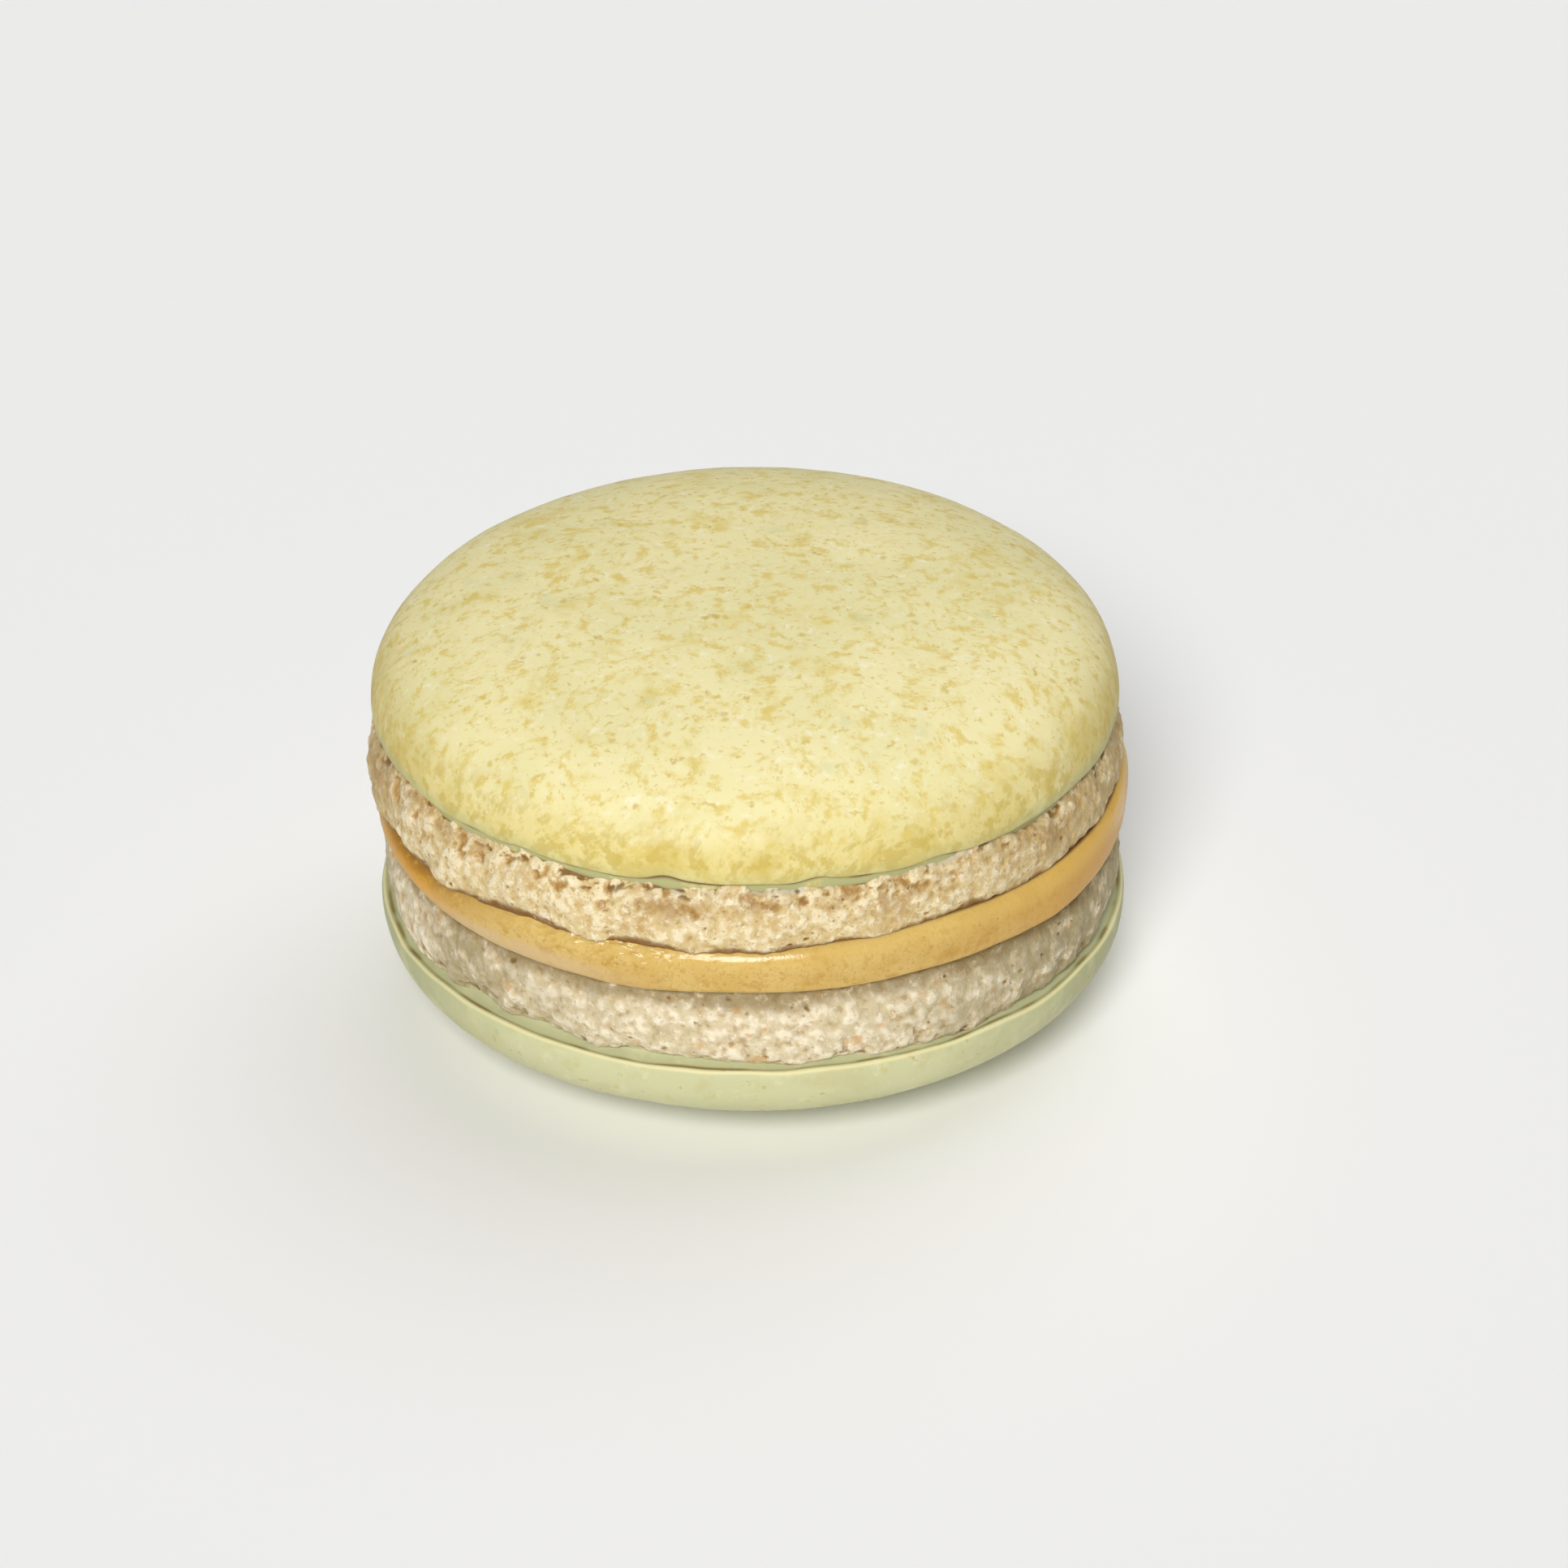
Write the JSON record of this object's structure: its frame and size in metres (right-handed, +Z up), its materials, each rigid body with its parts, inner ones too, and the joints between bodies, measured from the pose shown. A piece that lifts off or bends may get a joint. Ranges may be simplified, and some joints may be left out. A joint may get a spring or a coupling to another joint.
{
  "type": "french macaron",
  "caption": "Round almond meringue sandwich biscuit: two domed speckled shells with ragged feet and a soft band of filling between them.",
  "frame": {"origin": "middle of the footprint, at the flat spot on the lower crown that it stands on", "axes": "+Z up through both shells, -Y towards the side that is seen from the front, +X to the right"},
  "size_m": [0.047, 0.0466, 0.0275],
  "materials": {
    "meringue": "satin",
    "cream_filling": "gloss"
  },
  "bodies": {
    "root": {"shell_bottom": "meringue", "filling": "cream_filling", "shell_top": "meringue"}
  },
  "joints": []
}
